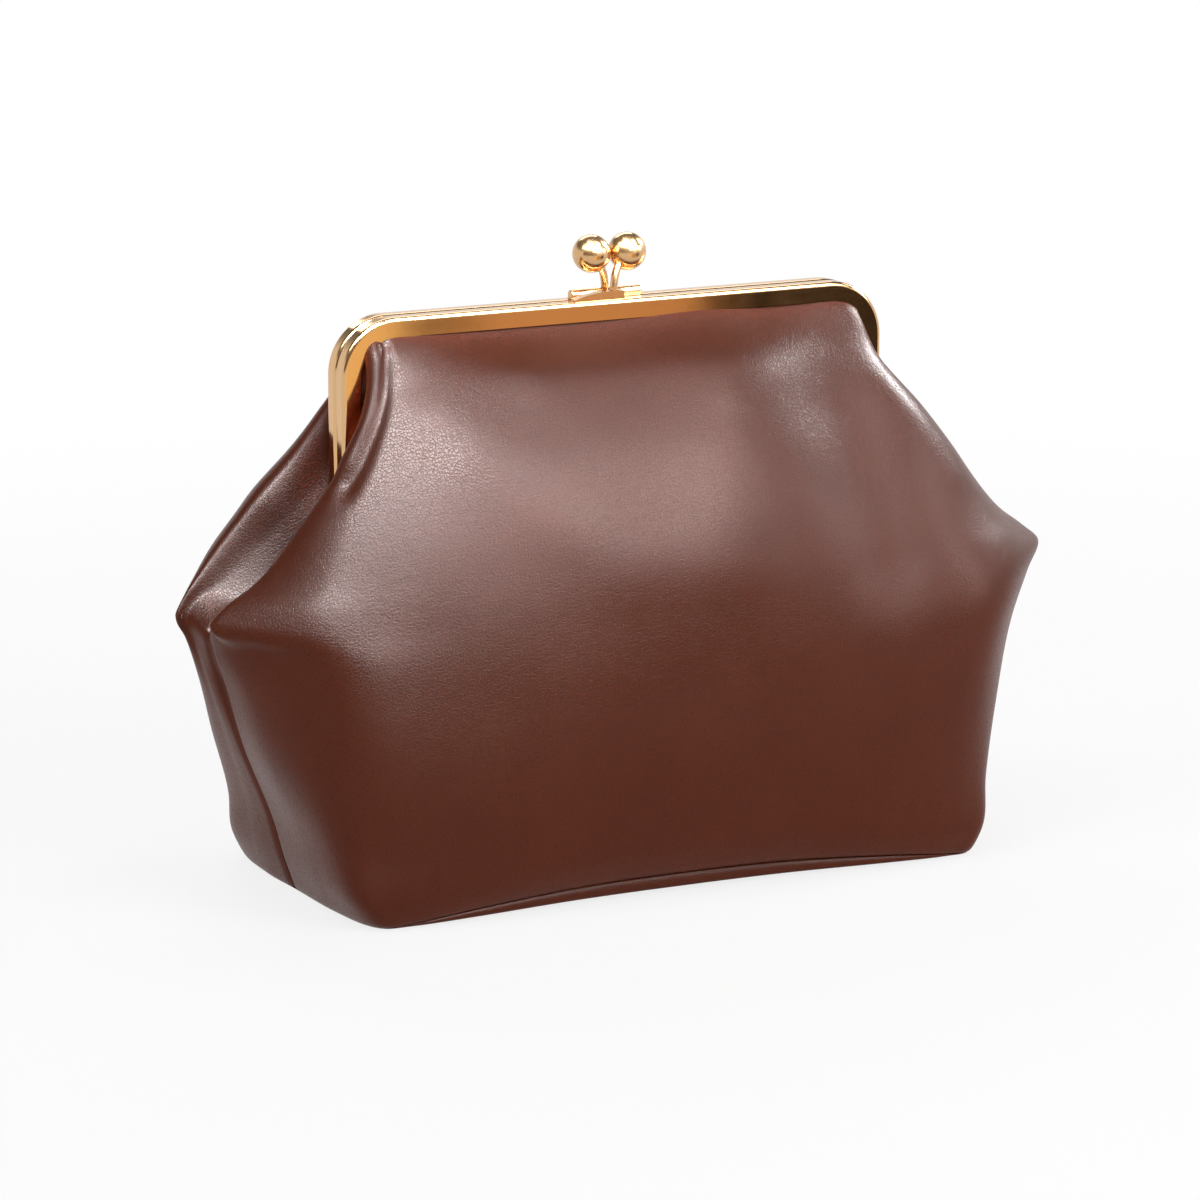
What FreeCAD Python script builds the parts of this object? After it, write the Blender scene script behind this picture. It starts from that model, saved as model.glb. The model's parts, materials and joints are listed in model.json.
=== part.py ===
"""Kiss lock frame purse: a soft leather bag hung on a hinged metal frame that a pair of balls snaps shut.

Millimetres. The origin is on the floor under the middle of the bag, +Z is up and the front faces -Y.
The front half of the hardware is drawn, and the back half is the same half turned round the Z axis.
"""
import FreeCAD, Part
import math
import os
import re
import Sketcher
from FreeCAD import Placement, Rotation, Vector

doc = FreeCAD.newDocument("frame_purse")

# Driving dimensions: name, millimetres, meaning
SIZES = [
    ("frame_width", 200, "frame across the outside of its legs"),
    ("frame_top", 191, "top face of the frame above the floor"),
    ("hinge_height", 128, "hinge pins above the floor"),
    ("frame_corner", 19, "outside radius of the frame's corners"),
    ("face_height", 6.5, "height of the channel's flanges"),
    ("channel_depth", 6.2, "front to back depth of one channel"),
    ("gauge", 0.8, "thickness of the frame's metal"),
    ("bend_radius", 1.4, "outside radius of the channel's bends"),
    ("half_gap", 0.2, "from the middle plane to each half"),
    ("ear_radius", 3.2, "round end of a hinge ear"),
    ("ear_gap", 0.1, "side play between two hinge ears"),
    ("leg_gap", 0.6, "from an ear's rim to the cut end of a leg"),
    ("weld_lap", 9, "length of a hinge plate up inside its leg"),
    ("rivet_diameter", 2.4, "shank of a hinge rivet"),
    ("rivet_play", 0.05, "radial play of a rivet in an ear"),
    ("rivet_head", 5.2, "across the domed head of a rivet"),
    ("rivet_dome", 1.1, "height of the domed head"),
    ("rivet_tail", 4.0, "across the peened tail of a rivet"),
    ("tail_height", 0.7, "height of the peened tail"),
    ("cord_diameter", 1.9, "paper cord packed into the channel"),
    ("pack_gap", 0.1, "between the channel, the leather and the cord"),
    ("ball_diameter", 12.8, "balls of the kiss lock"),
    ("ball_spacing", 13.2, "between the balls' centres"),
    ("ball_rise", 15, "balls' centres above the frame"),
    ("stem_diameter", 2.6, "wire of a ball's stem"),
    ("stem_play", 0.3, "play of a stem in its socket"),
    ("foot_width", 3.6, "front to back width of both feet"),
    ("foot_height", 2.8, "height of both feet at their sockets"),
    ("bar_length", 26, "half-round bar under the back ball"),
    ("leaf_reach", 15, "length of the front foot beside its stem"),
    ("leaf_heel", 3.4, "length of the front foot behind its stem"),
    ("leaf_tip", 0.7, "height of the front foot at its thin end"),
    ("foot_edge", 0.5, "rounding of the feet's ends"),
    ("leather", 1.4, "thickness of the leather"),
    ("turn_in", 4.2, "below the channel, where the leather starts to turn up into it"),
    ("gather_rise", "frame_top - face_height - turn_in - hinge_height", "from the hinge pins up to there"),
    ("lining", 0.6, "thickness of the lining cloth"),
    ("layer_gap", 0.3, "between leather and lining"),
    ("seam_gap", 0.1, "from the middle plane to each panel's seam edge"),
    ("lap_gap", 0.9, "from a panel to the top that tucks into it"),
    ("lap_depth", 2.5, "how far a top tucks into its panel"),
    ("yoke_stand", 7.6, "from the channel's front to a top's rolled edge, above the hinges"),
    ("shoulder_stand", 6.1, "the same at the top's shoulder"),
    ("collar_stand", 2.6, "the same just below the channel"),
    ("roll_drop", 3, "how far a top's rolled corners hang below the rest of its tuck"),
    ("hinge_clear", 18, "radius kept clear of the panels round the hinge pins"),
    ("base_width", 229, "base panel from side to side"),
    ("base_depth", 112, "base panel from front to back"),
    ("base_corner", 16, "corner radius of the base panel"),
    ("base_gauge", 1.6, "thickness of the base panel"),
    ("base_edge", 0.6, "rounding of the base panel's lower edge"),
    ("board_gauge", 2.0, "thickness of the stiffening board"),
    ("board_gap", 3.0, "from the base panel's edge to the board's edge"),
    ("board_corner", 20, "corner radius of the board and the base lining"),
    ("lining_height", "0.755 * hinge_height", "top edge of the lining above the floor"),
]


def beside(*offsets):
    """Half widths given from the outside of the frame's legs."""
    return [f"frame_width / 2 + {offset}" for offset in offsets]


def before(stand):
    """A half depth given from the front of the channel."""
    return f"half_gap + channel_depth + {stand}"


def raised(share):
    """A height given as a share of the way from the hinge pins up to the channel."""
    return f"hinge_height + {share} * gather_rise"


# Stations of a bag panel from the base up: height above the floor, half width at the side seam, in the
# middle of the gusset and at the rolled corner, half depth at the corner and in the middle, fullness.
# The leather hangs from the hinges, so the upper stations go up and down with them.
STATION = ("height", "seam", "gusset", "corner", "roll", "middle", "fullness")
CORNER_CUT = "0.29 * base_corner"
SOLE_CORNER, SOLE_ROLL = f"base_width / 2 - {CORNER_CUT}", f"base_depth / 2 - {CORNER_CUT}"
PANEL = {
    "sole": ("base_gauge", "base_width / 2", "base_width / 2", SOLE_CORNER, SOLE_ROLL, "base_depth / 2", 10),
    "low": (14, 117.0, 119.0, 116.5, 52.0, 59.5, 10),
    "belly": ("0.375 * hinge_height", 130.0, 131.5, 130.0, 38.0, 65.0, 6),
    "flare": ("0.58 * hinge_height", 141.0, 143.0, 142.0, 23.0, 63.0, 4.5),
    "side": ("0.735 * hinge_height", *beside(50.0, 52.5, 54.0), 13.0, 58.5, 3.1),
    "fold": ("0.79 * hinge_height", *beside(34.0, 44.0, 48.5), 13.0, 56.5, 3.2),
    "neck": ("0.86 * hinge_height", *beside(17.0, 29.0, 38.0), 14.0, 53.0, 3.4),
    "rim": ("hinge_height", *beside(-2.0, 10.0, 22.5), 14.5, 46.5, 3.8),
}
# Stations of a panel's top above its tuck, with the same meaning; the seam is its free edge beside the leg
TOP = {
    "yoke": (raised(0.29), *beside(-2.0, -2.0, 10.0), before("yoke_stand"), 38.5, 4.3),
    "shoulder": (raised(0.66), *beside(-2.5, -2.5, -2.0), before("shoulder_stand"), 27.0, 5),
    "collar": (raised(0.9), *beside(-6.0, -6.0, -8.0), before("collar_stand"), 15.5, 6),
}
# Share of a panel's half width at which its points stand, from the corner to the middle
SPREAD = (0.8, 0.42, 0.0)
FITTING_ROUNDS = 8
LEVEL_STEP = 1e-6

names = {name for name, _, _ in SIZES}
names |= {f"{station}_{what}" for station in (*PANEL, *TOP) for what in STATION}


def bound(expression):
    """An expression with each of the sheet's names written as the other objects see it."""
    def prefixed(word):
        return f"Sizes.{word[0]}" if word[0] in names else word[0]

    return re.sub(r"[a-z_]+", prefixed, str(expression))


def fill_sheet():
    filled = doc.addObject("Spreadsheet::Sheet", "Sizes")
    rows = list(SIZES)
    for station, values in {**PANEL, **TOP}.items():
        rows += [(f"{station}_{what}", value, "station") for what, value in zip(STATION, values)]
    for line, (name, value, meaning) in enumerate(rows, 1):
        filled.set(f"A{line}", name)
        filled.set(f"B{line}", f"={value}" if isinstance(value, str) else str(value))
        filled.set(f"C{line}", meaning)
        filled.setAlias(f"B{line}", name)
    doc.recompute()
    return filled


sheet = fill_sheet()


def worth(expression):
    """The value of an expression in the sheet's names."""
    value = sheet.evalExpression(bound(expression))
    return float(getattr(value, "Value", value))


def bind(thing, **properties):
    """Ties properties to the sheet; two underscores in a name stand for a dot."""
    for name, expression in properties.items():
        thing.setExpression(name.replace("__", "."), bound(expression))


# Values that several pieces share
HALF = "frame_width / 2"
LEG_END = "(hinge_height + ear_radius + leg_gap)"
CHANNEL_FRONT = "(-half_gap - channel_depth)"
CHANNEL_BACK = "(-half_gap)"
CHANNEL_MIDDLE = "(half_gap + channel_depth / 2)"
SOCKET = "(stem_diameter / 2 + stem_play)"
LEAN = f"hypot(ball_spacing / 2; {CHANNEL_MIDDLE})"
LEAN_ANGLE = f"atan2({CHANNEL_MIDDLE}; ball_spacing / 2)"
ON_BOARD = "base_gauge + board_gauge"


# Drawing and feature helpers
def new_body(label):
    body = doc.addObject("PartDesign::Body", label)
    body.Label = label
    return body


def new_sketch(body, name, role, height="0"):
    """A sketch on one of the body's own planes, raised along the plane's normal."""
    sketch = body.newObject("Sketcher::SketchObject", f"{body.Label}_{name}")
    plane = next(f for f in body.Origin.OriginFeatures if f.Role == role)
    sketch.AttachmentSupport = [(plane, "")]
    sketch.MapMode = "FlatFace"
    bind(sketch, AttachmentOffset__Base__z=height)
    return sketch


def arc_between(start, end, radius, turn):
    """The short arc from start to end; turn is 1 to the left, -1 to the right."""
    chord = end - start
    rise = math.sqrt(max(radius ** 2 - chord.Length ** 2 / 4, 0))
    across = Vector(-chord.y, chord.x, 0).normalize()
    centre = (start + end) / 2 + across * (rise * turn)
    first, last = (start, end) if turn > 0 else (end, start)
    angles = [math.atan2(p.y - centre.y, p.x - centre.x) for p in (first, last)]
    return Part.ArcOfCircle(Part.Circle(centre, Vector(0, 0, 1), radius), *angles)


def dimension(sketch, kind, place, expression):
    held = sketch.addConstraint(Sketcher.Constraint(kind, *place, worth(expression)))
    sketch.setExpression(f"Constraints[{held}]", bound(expression))


def trace(sketch, points, closed=True):
    """Draws lines through (x, y) points, and an arc to each point that also has a radius and a turn."""
    places = [Vector(worth(point[0]), worth(point[1]), 0) for point in points]
    count = len(points) if closed else len(points) - 1
    ends = []
    for i in range(count):
        following = (i + 1) % len(points)
        goal = points[following]
        if len(goal) == 2:
            index = sketch.addGeometry(Part.LineSegment(places[i], places[following]))
            ends.append((index, 1, 2))
            continue
        radius, turn = goal[2:]
        index = sketch.addGeometry(arc_between(places[i], places[following], worth(radius), turn))
        ends.append((index, 1, 2) if turn > 0 else (index, 2, 1))
        dimension(sketch, "Radius", (index,), radius)
    for i in range(count if closed else count - 1):
        index, _, last = ends[i]
        following, first, _ = ends[(i + 1) % count]
        sketch.addConstraint(Sketcher.Constraint("Coincident", index, last, following, first))
    corners = [(index, first) for index, first, _ in ends]
    if not closed:
        corners.append((ends[-1][0], ends[-1][2]))
    for corner, point in zip(corners, points):
        dimension(sketch, "DistanceX", corner, point[0])
        dimension(sketch, "DistanceY", corner, point[1])


def ring(sketch, x, y, radius):
    centre = Vector(worth(x), worth(y), 0)
    index = sketch.addGeometry(Part.Circle(centre, Vector(0, 0, 1), worth(radius)))
    dimension(sketch, "DistanceX", (index, 3), x)
    dimension(sketch, "DistanceY", (index, 3), y)
    dimension(sketch, "Radius", (index,), radius)


def pad(body, sketch, length):
    feature = body.newObject("PartDesign::Pad", f"{sketch.Name}_pad")
    feature.Profile = sketch
    bind(feature, Length=length)
    doc.recompute()
    return feature


def bore(body, sketch, length):
    """Cuts a sketch out of the body, along the sketch's normal."""
    feature = body.newObject("PartDesign::Pocket", f"{sketch.Name}_bore")
    feature.Profile = sketch
    feature.Reversed = True
    bind(feature, Length=length)
    doc.recompute()
    return feature


def pipe(body, profile, path):
    feature = body.newObject("PartDesign::AdditivePipe", f"{profile.Name}_pipe")
    feature.Profile = profile
    feature.Spine = path
    doc.recompute()
    return feature


def round_off(body, radius, chosen):
    """Rounds those edges of the body whose bounding boxes are chosen."""
    solid = body.Tip
    rim = [f"Edge{i}" for i, edge in enumerate(solid.Shape.Edges, 1) if chosen(edge.BoundBox)]
    rounding = body.newObject("PartDesign::Fillet", f"{body.Label}_rounding")
    rounding.Base = (solid, rim)
    bind(rounding, Radius=radius)
    doc.recompute()
    return rounding


def facing(side):
    """The front half's own place, or the same turned round the Z axis for the back half."""
    return Placement(Vector(), Rotation(Vector(0, 0, 1), 0 if side < 0 else 180))


# The frame halves: a folded channel bent into a U, with a hinge ear on its left leg
def frame_path(body, inset, foot):
    """The U that a channel or a cord follows, inset from the frame's outside, from its foot up and over."""
    path = new_sketch(body, "path", "XZ_Plane")
    side, rise = f"({HALF} - {inset})", f"(frame_top - {inset})"
    corner, straight = f"(frame_corner - {inset})", f"({HALF} - frame_corner)"
    turn = "(frame_top - frame_corner)"
    trace(path, [
        (f"-{side}", foot),
        (f"-{side}", turn),
        (f"-{straight}", rise, corner, -1),
        (straight, rise),
        (side, turn, corner, -1),
        (side, foot),
    ], closed=False)
    return path


def channel_section(body):
    """The folded channel at the foot of the left leg, open towards the middle of the frame."""
    section = new_sketch(body, "section", "XY_Plane", LEG_END)
    web, inside = f"-{HALF}", f"-{HALF} + gauge"
    bend, lips = f"-{HALF} + bend_radius", f"-{HALF} + face_height"
    fold = "bend_radius - gauge"
    trace(section, [
        (bend, CHANNEL_FRONT, "bend_radius", 1),
        (lips, CHANNEL_FRONT),
        (lips, f"{CHANNEL_FRONT} + gauge"),
        (bend, f"{CHANNEL_FRONT} + gauge"),
        (inside, f"{CHANNEL_FRONT} + bend_radius", fold, -1),
        (inside, f"{CHANNEL_BACK} - bend_radius"),
        (bend, f"{CHANNEL_BACK} - gauge", fold, -1),
        (lips, f"{CHANNEL_BACK} - gauge"),
        (lips, CHANNEL_BACK),
        (bend, CHANNEL_BACK),
        (web, f"{CHANNEL_BACK} - bend_radius", "bend_radius", 1),
        (web, f"{CHANNEL_FRONT} + bend_radius"),
    ])
    return section


def ear_outline(body, face):
    """An ear seen along X: a strap as wide as the flat of the leg's web, and an eye round the hinge pin."""
    ear = new_sketch(body, "ear", "YZ_Plane", face)
    front, back = f"{CHANNEL_FRONT} + bend_radius", f"{CHANNEL_BACK} - bend_radius"
    top = f"{LEG_END} + weld_lap"
    trace(ear, [
        (front, top),
        (front, LEG_END),
        ("-ear_radius", "hinge_height"),
        ("0", "hinge_height - ear_radius", "ear_radius", 1),
        ("ear_radius", "hinge_height", "ear_radius", 1),
        ("0", "hinge_height + ear_radius", "ear_radius", 1),
        (back, LEG_END),
        (back, top),
    ])
    ring(ear, "0", "hinge_height", "rivet_diameter / 2 + rivet_play")
    return ear


def frame_half(label):
    body = new_body(label)
    pipe(body, channel_section(body), frame_path(body, "0", LEG_END))
    pad(body, ear_outline(body, f"-{HALF}"), "gauge")
    return body


def hinge_plate(label):
    """The plate welded inside the right leg, whose eye lies inside the other half's ear."""
    body = new_body(label)
    pad(body, ear_outline(body, f"{HALF} - 2 * gauge - ear_gap"), "gauge")
    return body


def paper_cord(label):
    """Cord rammed into the channel behind the leather."""
    body = new_body(label)
    inset = "(gauge + pack_gap + cord_diameter / 2)"
    foot = f"({LEG_END} + weld_lap + pack_gap)"
    section = new_sketch(body, "section", "XY_Plane", foot)
    ring(section, f"-{HALF} + {inset}", f"{CHANNEL_BACK} - {inset}", "cord_diameter / 2")
    pipe(body, section, frame_path(body, inset, foot))
    return body


def hinge_rivet(label, side):
    """A domed rivet along X through an ear and a plate, drawn round its own axis."""
    body = new_body(label)
    section = new_sketch(body, "section", "XZ_Plane")
    tail = "(2 * gauge + 2 * ear_gap)"
    trace(section, [
        ("-ear_gap - rivet_dome", "0"),
        ("-ear_gap", "rivet_head / 2", "(rivet_dome^2 + rivet_head^2 / 4) / (2 * rivet_dome)", -1),
        ("-ear_gap", "rivet_diameter / 2"),
        (tail, "rivet_diameter / 2"),
        (tail, "rivet_tail / 2"),
        (f"{tail} + tail_height", "rivet_tail / 2"),
        (f"{tail} + tail_height", "0"),
    ])
    turned = body.newObject("PartDesign::Revolution", f"{label}_turned")
    turned.Profile = section
    turned.ReferenceAxis = (section, ["H_Axis"])
    turned.Angle = 360
    body.Placement = facing(side)
    bind(body, Placement__Base__x=f"{side} * {HALF}", Placement__Base__z="hinge_height")
    doc.recompute()
    return body


# The kiss lock: on each half a foot with a socket, a bent stem and a ball
def stand_on_channel(body, side, turn="0 deg"):
    """Stands a body, drawn round its stem's foot, on top of the front or back channel."""
    body.Placement = facing(1)
    bind(body, Placement__Base__y=f"{side} * {CHANNEL_MIDDLE}", Placement__Base__z="frame_top")
    bind(body, Placement__Rotation__Angle=f"{turn} + {0 if side < 0 else 180} deg")
    doc.recompute()


def socket(body):
    """The upright hole that a stem springs in."""
    hole = new_sketch(body, "socket", "XY_Plane")
    ring(hole, "0", "0", SOCKET)
    bore(body, hole, "foot_height + stem_play")


def leaf_foot(label):
    """A low foot that thins out to a leaf beside its stem."""
    body = new_body(label)
    side = new_sketch(body, "side", "XZ_Plane", "-foot_width / 2")
    crown = f"(leaf_reach - {SOCKET})"
    drop = "(foot_height - leaf_tip)"
    trace(side, [
        ("-leaf_reach", "0"),
        ("leaf_heel", "0"),
        ("leaf_heel", "foot_height"),
        (f"-{SOCKET}", "foot_height"),
        ("-leaf_reach", "leaf_tip", f"({crown}^2 + {drop}^2) / (2 * {drop})", 1),
    ])
    pad(body, side, "foot_width")
    heel = worth("leaf_heel - foot_edge / 2")
    round_off(body, "foot_edge", lambda box: box.XMin > heel and box.ZMax > worth("foot_edge"))
    socket(body)
    return body


def bar_foot(label):
    """A half-round bar along the channel, with its stem in the middle."""
    body = new_body(label)
    end = new_sketch(body, "end", "YZ_Plane", "-bar_length / 2")
    side, shoulder = "foot_width / 2", "foot_height - foot_width / 2"
    trace(end, [
        (f"-{side}", "0"),
        (side, "0"),
        (side, shoulder),
        ("0", "foot_height", side, 1),
        (f"-{side}", shoulder, side, 1),
    ])
    pad(body, end, "bar_length")
    tip = worth("bar_length / 2 - foot_edge / 2")
    round_off(body, "foot_edge", lambda box: max(box.XMin, -box.XMax) > tip and box.ZMax > worth("foot_edge"))
    socket(body)
    return body


def stem(label):
    """Wire that rises out of its socket and curves over the middle plane into its ball."""
    body = new_body(label)
    section = new_sketch(body, "section", "XY_Plane", "stem_play")
    ring(section, "0", "0", "stem_diameter / 2")
    path = new_sketch(body, "path", "XZ_Plane")
    rise = "(ball_rise - foot_height)"
    trace(path, [
        ("0", "stem_play"),
        ("0", "foot_height"),
        (LEAN, "ball_rise", f"({LEAN}^2 + {rise}^2) / (2 * {LEAN})", -1),
    ], closed=False)
    pipe(body, section, path)
    return body


def ball(label, side, wire):
    """A ball soldered over the end of its stem."""
    solid = doc.addObject("Part::Sphere", f"{label}_round")
    bind(solid, Radius="ball_diameter / 2")
    bind(solid, Placement__Base__x=f"{side} * ball_spacing / 2", Placement__Base__z="frame_top + ball_rise")
    drilled = doc.addObject("Part::Cut", label)
    drilled.Base = solid
    drilled.Tool = wire
    drilled.Label = label
    doc.recompute()
    return drilled


# The leather and the lining: thin walls between two smooth surfaces
def station_row(station):
    """Points along a panel at one station, from the left seam round the front to the right seam."""
    height, seam, gusset, corner, roll, middle, fullness = [worth(f"{station}_{what}") for what in STATION]
    half = [(seam, worth("seam_gap")), (gusset, roll / 2), (corner, roll)]
    half += [panel_point(corner * share, corner, roll, middle, fullness) for share in SPREAD]
    return mirrored_row(half, height)


def panel_point(x, corner, roll, middle, fullness):
    return x, roll + (middle - roll) * (1 - (x / corner) ** fullness)


def mirrored_row(half, height):
    """A full row from its left half, whose last point is on the middle."""
    left = [Vector(-x, -y, height) for x, y in half]
    right = [Vector(x, -y, height) for x, y in reversed(half[:-1])]
    return left + right


def smooth_surface(rows):
    """A cubic surface that runs along its outer poles and follows the others."""
    knots, counts = [], []
    for poles in (len(rows), len(rows[0])):
        spans = poles - 3
        knots.append([i / spans for i in range(spans + 1)])
        counts.append([4] + [1] * (spans - 1) + [4])
    surface = Part.BSplineSurface()
    surface.buildFromPolesMultsKnots(rows, *counts, *knots, False, False, 3, 3)
    return surface


def pole_parameter(i, count):
    """Where along a cubic row of poles the surface lies nearest to pole i."""
    spans = count - 3
    knots = [0, 0, 0] + [j / spans for j in range(spans + 1)] + [1, 1, 1]
    return sum(knots[i + 1:i + 4]) / 3


def poles_through(rows, loose=0):
    """Poles of a surface through the points of the rows; the last, loose rows stay poles themselves."""
    poles = [list(row) for row in rows]
    for _ in range(FITTING_ROUNDS):
        surface = smooth_surface(poles)
        for i, row in enumerate(rows[:len(rows) - loose]):
            for j, point in enumerate(row):
                reached = surface.value(pole_parameter(i, len(rows)), pole_parameter(j, len(row)))
                poles[i][j] = poles[i][j] + point - reached
    return poles


def moved_in(rows, depth):
    """The rows moved into the bag by depth; edge rows keep their heights and seam edges their plane."""
    surface = smooth_surface(rows)
    inward = math.copysign(depth, surface.normal(0.5, 0.5).y)
    moved = []
    for i, row in enumerate(rows):
        line = []
        for j, pole in enumerate(row):
            normal = surface.normal(pole_parameter(i, len(rows)), pole_parameter(j, len(row)))
            place = pole + normal * inward
            if i in (0, len(rows) - 1):
                place.z = pole.z
            if j in (0, len(row) - 1):
                place.y = pole.y
            line.append(place)
        moved.append(line)
    return moved


def wall_between(outer, inner):
    """The closed solid between two surfaces that have the same layout of poles."""
    faces = [outer.toShape(), inner.toShape()]
    low, high, left, right = outer.bounds()
    for line, ends in (("uIso", (low, high)), ("vIso", (left, right))):
        for end in ends:
            edges = [getattr(surface, line)(end).toShape() for surface in (outer, inner)]
            faces.append(Part.makeRuledSurface(*edges))
    skin = Part.makeCompound(faces)
    skin.sewShape()
    solid = Part.Solid(skin.Shells[0])
    if solid.Volume < 0:
        solid.reverse()
    return solid


def level_at(surface, height):
    """The parameter at which the middle of a panel's surface reaches a height."""
    low, high = 0.0, 1.0
    while high - low > LEVEL_STEP:
        half = (low + high) / 2
        if surface.value(half, 0.5).z < height:
            low = half
        else:
            high = half
    return low


def soft_piece(label, shape):
    piece = doc.addObject("Part::Feature", label)
    piece.Label = label
    piece.Shape = shape
    piece.Placement = Placement()
    return piece


def back_copy(label, front):
    """The back panel, lining or top: the front one mirrored in the middle plane."""
    copy = doc.addObject("Part::Mirroring", label)
    copy.Label = label
    copy.Source = front
    copy.Normal = Vector(0, 1, 0)
    return copy


def clear_of_hinges(shape):
    """Cuts the room that the frame's legs and their leather turn in."""
    radius, start = worth("hinge_clear"), worth(HALF) - worth("hinge_clear")
    length = worth("side_corner") - start
    for side in (-1, 1):
        middle = Vector(side * start, 0, worth("hinge_height"))
        shape = shape.cut(Part.makeCylinder(radius, length, middle, Vector(side, 0, 0)))
    return shape


def panel_rows():
    return poles_through([station_row(station) for station in PANEL])


def lower_panel(label):
    """The body of a panel, from the base to the hinges."""
    rows = panel_rows()
    surfaces = [smooth_surface(moved_in(rows, depth)) for depth in (0, worth("leather"))]
    return soft_piece(label, clear_of_hinges(wall_between(*surfaces)))


def panel_lining(label):
    """Lining inside a panel, from the base lining to its top edge."""
    rows = panel_rows()
    gap = worth("leather + layer_gap")
    surfaces = [smooth_surface(moved_in(rows, depth)) for depth in (gap, gap + worth("lining"))]
    edges = [level_at(surfaces[0], worth(z)) for z in (f"{ON_BOARD} + lining", "lining_height")]
    for surface in surfaces:
        surface.segment(*edges, 0, 1)
    return soft_piece(label, wall_between(*surfaces))


def top_row(station):
    """Points along a panel's top at one station, from its free edge beside the left leg to the right one."""
    height, edge, _, corner, roll, middle, fullness = [worth(f"{station}_{what}") for what in STATION]
    leg_face = worth(before("lap_gap"))
    half = [(edge, min(leg_face, roll)), (corner, roll)]
    half += [panel_point(corner * share, corner, roll, middle, fullness) for share in SPREAD]
    return mirrored_row(half, height)


def tuck_row():
    """The lowest row of a top, which lies inside the panel's rim and clear of it."""
    inside = moved_in(panel_rows(), worth("leather + lap_gap"))
    surface = smooth_surface(inside)
    neck, across = pole_parameter(len(inside) - 2, len(inside)), len(inside[0])
    level = 1 - (1 - neck) * worth("lap_depth / (rim_height - neck_height)")
    row = [surface.value(level, pole_parameter(j, across)) for j in range(1, across - 1)]
    for corner in (row[1], row[-2]):
        corner.z -= worth("roll_drop")
    return row


def channel_rows():
    """The rows of a top that run up between the channel's flanges."""
    seat = worth("half_gap + channel_depth - gauge - pack_gap")
    mouth = worth("frame_top - face_height")
    end = worth(f"{HALF} - frame_corner")
    hem = worth("frame_top - bend_radius - pack_gap")
    turn = worth("turn_in")
    rows = []
    for height in (mouth - turn, mouth - turn / 2, mouth + turn / 6, hem):
        half = [(end + worth("gauge"), seat), (end, seat)]
        half += [(end * share, seat) for share in SPREAD]
        rows.append(mirrored_row(half, height))
    return rows


def panel_top(label):
    """The gathered top of a panel, from its tuck at the hinges up into the channel."""
    held = channel_rows()
    rows = poles_through([tuck_row()] + [top_row(station) for station in TOP] + held, loose=len(held))
    surfaces = [smooth_surface(moved_in(rows, depth)) for depth in (0, worth("leather"))]
    return soft_piece(label, wall_between(*surfaces))


# The base: leather, board and lining, one on the other
def base_layer(label, low, gauge, inset, radius):
    body = new_body(label)
    outline = new_sketch(body, "outline", "XY_Plane", low)
    side, front = f"(base_width / 2 - {inset})", f"(base_depth / 2 - {inset})"
    trace(outline, [
        (f"-{side} + {radius}", f"-{front}", radius, 1),
        (f"{side} - {radius}", f"-{front}"),
        (side, f"-{front} + {radius}", radius, 1),
        (side, f"{front} - {radius}"),
        (f"{side} - {radius}", front, radius, 1),
        (f"-{side} + {radius}", front),
        (f"-{side}", f"{front} - {radius}", radius, 1),
        (f"-{side}", f"-{front} + {radius}"),
    ])
    pad(body, outline, gauge)
    return body


def rounded_base(label):
    body = base_layer(label, "0", "base_gauge", "0", "base_corner")
    round_off(body, "base_edge", lambda box: box.ZMax < worth("base_edge / 2"))
    return body


def assemble():
    """Every piece of the purse, front half before back half."""
    pieces = [hinge_rivet("left_hinge_rivet", -1), hinge_rivet("right_hinge_rivet", 1)]
    for half, side in (("front", -1), ("back", 1)):
        for make, name in ((frame_half, "frame"), (hinge_plate, "hinge_plate"), (paper_cord, "paper_cord")):
            piece = make(f"{half}_{name}")
            piece.Placement = facing(side)
            pieces.append(piece)
        foot = leaf_foot("front_clasp_foot") if side < 0 else bar_foot("back_clasp_bar")
        wire = stem(f"{half}_clasp_stem")
        stand_on_channel(foot, side)
        stand_on_channel(wire, side, LEAN_ANGLE)
        pieces += [foot, wire, ball(f"{half}_clasp_ball", -side, wire)]
    for make, name in ((lower_panel, "panel"), (panel_top, "panel_top"), (panel_lining, "lining")):
        piece = make(f"front_{name}")
        pieces += [piece, back_copy(f"back_{name}", piece)]
    pieces.append(rounded_base("base_panel"))
    pieces.append(base_layer("base_board", "base_gauge", "board_gauge", "board_gap", "board_corner"))
    pieces.append(base_layer("base_lining", ON_BOARD, "lining", "board_gap", "board_corner"))
    doc.recompute()
    return pieces


def check_and_write(pieces):
    failed = [thing.Label for thing in doc.Objects if {"Invalid", "Error"} & set(thing.State)]
    failed += [piece.Label for piece in pieces if piece.Shape.isNull() or not piece.Shape.isValid()]
    failed += [piece.Label for piece in pieces if len(piece.Shape.Solids) != 1]
    if failed:
        raise RuntimeError(f"pieces that failed: {failed}")
    os.makedirs("parts", exist_ok=True)
    for piece in pieces:
        piece.Shape.exportStep(f"parts/{piece.Label}.step")


check_and_write(assemble())
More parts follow.
